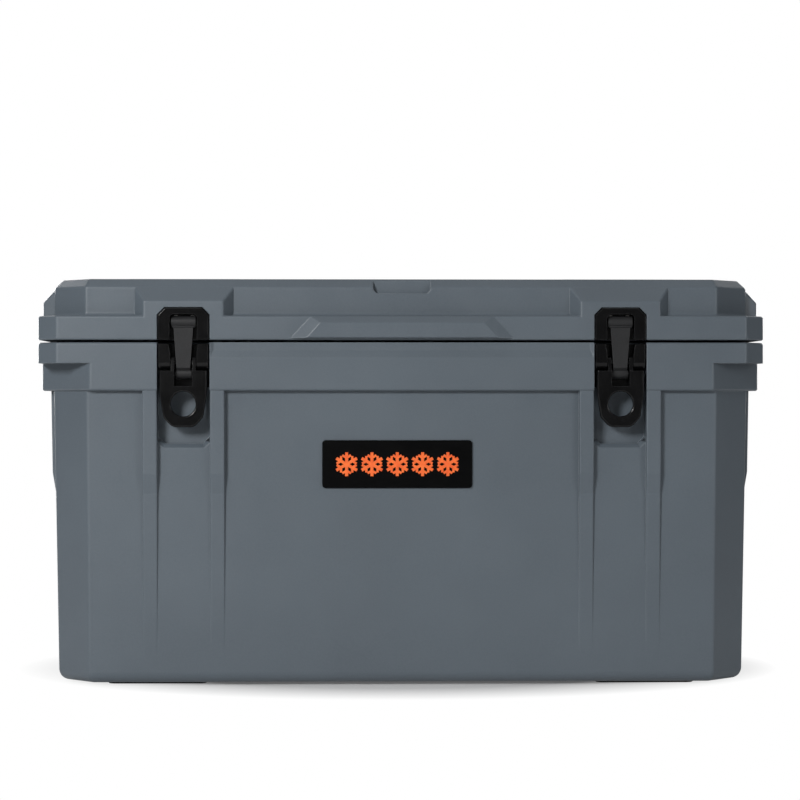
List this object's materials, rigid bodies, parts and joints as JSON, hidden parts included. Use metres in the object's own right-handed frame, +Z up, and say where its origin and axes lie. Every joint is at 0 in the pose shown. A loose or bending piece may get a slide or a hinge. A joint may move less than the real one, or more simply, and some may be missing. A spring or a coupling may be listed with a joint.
{
  "type": "hard cooler",
  "caption": "Insulated hard cooler box with a hinged foam-filled lid, draw latches, moulded hand recesses, screw drain plug and rubber feet",
  "frame": {"origin": "middle of the base, on the surface that the feet stand on", "axes": "+X to the right end along the longest side, -Y towards the front with the latches, +Z up"},
  "size_m": [0.792, 0.44, 0.443],
  "materials": {
    "shell": "satin",
    "foam": "matte",
    "gasket": "matte",
    "hardware_black": "gloss",
    "link_black": "satin",
    "drain_cap": "satin",
    "badge": "satin",
    "motif": "satin",
    "steel": "satin",
    "pin_black": "satin",
    "foot_rubber": "matte"
  },
  "bodies": {
    "tub": {"tub_shell": "shell", "tub_foam": "foam", "badge_plate": "badge", "badge_motif": "motif", "drain_fitting": "hardware_black", "drain_nut": "hardware_black", "foot_screws": "steel", "hinge_tub_screws": "steel", "latch_tub_screws": "steel", "left_latch_base": "hardware_black", "left_lever_pin": "pin_black", "left_hinge_tub_leaf": "hardware_black", "left_hinge_pin": "steel", "right_latch_base": "hardware_black", "right_lever_pin": "pin_black", "right_hinge_tub_leaf": "hardware_black", "right_hinge_pin": "steel", "front_left_foot": "foot_rubber", "rear_left_foot": "foot_rubber", "front_right_foot": "foot_rubber", "rear_right_foot": "foot_rubber"},
    "lid": {"lid_shell": "shell", "lid_foam": "foam", "lid_gasket": "gasket", "hinge_lid_screws": "steel", "latch_lid_screws": "steel", "left_latch_bracket": "hardware_black", "left_hinge_lid_leaf": "hardware_black", "right_latch_bracket": "hardware_black", "right_hinge_lid_leaf": "hardware_black"},
    "left_lever": {"left_latch_lever": "hardware_black", "left_link_pin": "pin_black"},
    "left_link": {"left_latch_link": "link_black"},
    "right_lever": {"right_latch_lever": "hardware_black", "right_link_pin": "pin_black"},
    "right_link": {"right_latch_link": "link_black"},
    "drain_seal": {"drain_seal": "gasket"},
    "drain_plug": {"drain_plug": "drain_cap"}
  },
  "joints": [
    {"name": "lid_hinge", "type": "hinge", "parent": "tub", "child": "lid", "pos_m": [0, 0.213, 0.37475], "axis": [-1, 0, 0], "range_deg": [0, 100]},
    {"name": "left_latch", "type": "hinge", "parent": "tub", "child": "left_lever", "pos_m": [-0.237, -0.204, 0.352], "axis": [-1, 0, 0], "range_deg": [0, 90]},
    {"name": "left_draw", "type": "hinge", "parent": "left_lever", "child": "left_link", "pos_m": [-0.237, -0.2023, 0.3397], "axis": [1, 0, 0], "range_deg": [0, 103.5]},
    {"name": "right_latch", "type": "hinge", "parent": "tub", "child": "right_lever", "pos_m": [0.237, -0.204, 0.352], "axis": [-1, 0, 0], "range_deg": [0, 90]},
    {"name": "right_draw", "type": "hinge", "parent": "right_lever", "child": "right_link", "pos_m": [0.237, -0.2023, 0.3397], "axis": [1, 0, 0], "range_deg": [0, 103.5]},
    {"name": "drain_travel", "type": "slide", "parent": "tub", "child": "drain_seal", "axis": [-1, 0, 0], "range_m": [0, 0.03]},
    {"name": "drain_turn", "type": "hinge", "parent": "drain_seal", "child": "drain_plug", "pos_m": [-0.38, 0, 0.075], "axis": [-1, 0, 0], "range_deg": [0, 3600]}
  ],
  "couplings": [
    {"joint": "left_draw", "follows": "left_latch", "ratio": 1.15},
    {"joint": "right_draw", "follows": "right_latch", "ratio": 1.15},
    {"joint": "drain_turn", "follows": "drain_travel", "rad_per_m": 2094.4}
  ]
}
